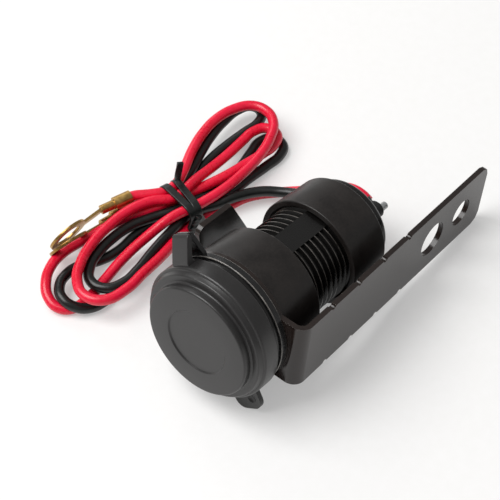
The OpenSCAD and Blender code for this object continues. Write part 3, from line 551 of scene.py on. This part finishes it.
def tieWrap(offset, slant):
    w, h = tie["halfWide"], tie["top"]
    band = slab([(-w, 0), (w, 0), (w, h), (-w, h)], tie["wide"], acrossFace, corners=(0, 1, 2, 3),
                radius=tie["round"], segments=tie["roundSteps"])
    bmesh.ops.delete(band, geom=[f for f in band.faces if abs(f.normal.y) > 0.9], context="FACES_ONLY")
    bmesh.ops.translate(band, vec=(0, offset + tie["wide"] / 2, 0), verts=band.verts)
    for v in band.verts:
        v.co.y += slant * v.co.x / w * (1 if v.co.z > h / 2 else -1)
    bmesh.ops.recalc_face_normals(band, faces=band.faces)
    bmesh.ops.solidify(band, geom=band.faces[:], thickness=tie["thick"])
    return band


# A strip of the tie twisted on its own length
def twistedStrip(length, turns, wide, thick, foot, lean, steps=24):
    strip = bmesh.new()
    corners = [strip.verts.new((x, y, 0)) for x, y in ((-wide / 2, -thick / 2), (wide / 2, -thick / 2),
                                                       (wide / 2, thick / 2), (-wide / 2, thick / 2))]
    end = strip.faces.new(corners)
    bmesh.ops.spin(strip, geom=[end], cent=(0, 0, 0), axis=(0, 0, 1), angle=fullTurn * turns, steps=steps,
                   dvec=(0, 0, length / steps), use_merge=False, use_duplicate=False)
    bmesh.ops.recalc_face_normals(strip, faces=strip.faces)
    bmesh.ops.transform(strip, matrix=Matrix.Translation(foot) @ Matrix.Rotation(lean, 4, "X"),
                        verts=strip.verts)
    return strip


wraps = [tieWrap(side * tie["apart"], -side * tie["slant"]) for side in (-1, 1)]
tieShape = joined(*wraps, twistedStrip(**tie["upright"]), twistedStrip(**tie["knot"]))
addPiece("twistTie", tieShape, "tiePlastic", "socket", place=tiePlace, bevel=tie["edge"], segments=3,
         stands=("twist_tie",))
print("hardware made")

# Inner pieces stay as they are and take their own finish
inside = {
    "usb_face_plate": "platePlastic", "usb_port_upper": "tinnedSteel", "usb_port_lower": "tinnedSteel",
    "usb_tongue_upper": "whitePlastic", "usb_tongue_lower": "whitePlastic", "usb_contacts": "giltContact",
    "circuit_board": "boardGreen", "converter_chip": "chipBlack", "power_inductor": "ferrite",
    "filter_capacitors": "capacitorCan", "small_components": "ceramic", "rear_plug": "barrelNylon",
    "positive_terminal": "pinSteel", "negative_terminal": "pinSteel"}
for node, finish in inside.items():
    nodes[node].data.materials.clear()
    nodes[node].data.materials.append(finishes[finish])
print("inner pieces finished", len(inside))

# Table, light and world
table = {"halfSize": 3, "grain": 3, "drift": 200, "glow": 0.35}
floorShape = bmesh.new()
bmesh.ops.create_grid(floorShape, x_segments=1, y_segments=1, size=table["halfSize"])
floorMesh = bpy.data.meshes.new("table")
floorShape.to_mesh(floorMesh)
floorShape.free()
# White laminate, lifted towards white where the eye or a polished face sees it, so its shadow stays soft
laminate = madeSurface("tableWhiteLaminate", "#f4f3f1", "#f8f7f6", (0.5, 0.6), table["grain"], 0.004,
                       drift=table["drift"])
rays = addNode(laminate, "ShaderNodeLightPath")
seen = addNode(laminate, "ShaderNodeMath", links={0: (rays, "Is Camera Ray"), 1: (rays, "Is Glossy Ray")},
               operation="MAXIMUM")
seenThrough = addNode(laminate, "ShaderNodeMath", links={0: (seen, 0), 1: (rays, "Is Transmission Ray")},
                      operation="MAXIMUM")
share = addNode(laminate, "ShaderNodeMath", {1: table["glow"]}, {0: (seenThrough, 0)}, operation="MULTIPLY")
glow = addNode(laminate, "ShaderNodeEmission", {"Color": hexColour("#ffffff"), "Strength": 1.0})
top = laminate.node_tree.nodes["Material Output"]
lifted = addNode(laminate, "ShaderNodeMixShader", links={
    0: (share, 0), 1: (laminate.node_tree.nodes["Principled BSDF"], 0), 2: (glow, 0)})
laminate.node_tree.links.new(lifted.outputs[0], top.inputs["Surface"])
floorMesh.materials.append(laminate)
floor = bpy.data.objects.new("table", floorMesh)
scene.collection.objects.link(floor)

# A wide soft box overhead, and a smaller one behind that draws the light lines on edges
lamps = {"overhead": {"place": (-0.42, -0.4, 0.95), "size": 0.8, "watts": 12.5},
         "behind": {"place": (-0.75, 0.35, 0.55), "size": 0.4, "watts": 1.0}}
for name, lamp in lamps.items():
    light = bpy.data.objects.new(name, bpy.data.lights.new(name, "AREA"))
    light.data.size, light.data.energy = lamp["size"], lamp["watts"]
    light.location = lamp["place"]
    light.rotation_euler = (-Vector(lamp["place"])).to_track_quat("-Z", "Y").to_euler()
    scene.collection.objects.link(light)
studio = {"colour": "#fdfcfb", "strength": 0.32}
world = bpy.data.worlds.new("studio")
scene.world = world
world.use_nodes = True
background = world.node_tree.nodes["Background"]
background.inputs["Color"].default_value = hexColour(studio["colour"])
background.inputs["Strength"].default_value = studio["strength"]
scene.view_settings.view_transform = "Standard"
print("table and lights set")
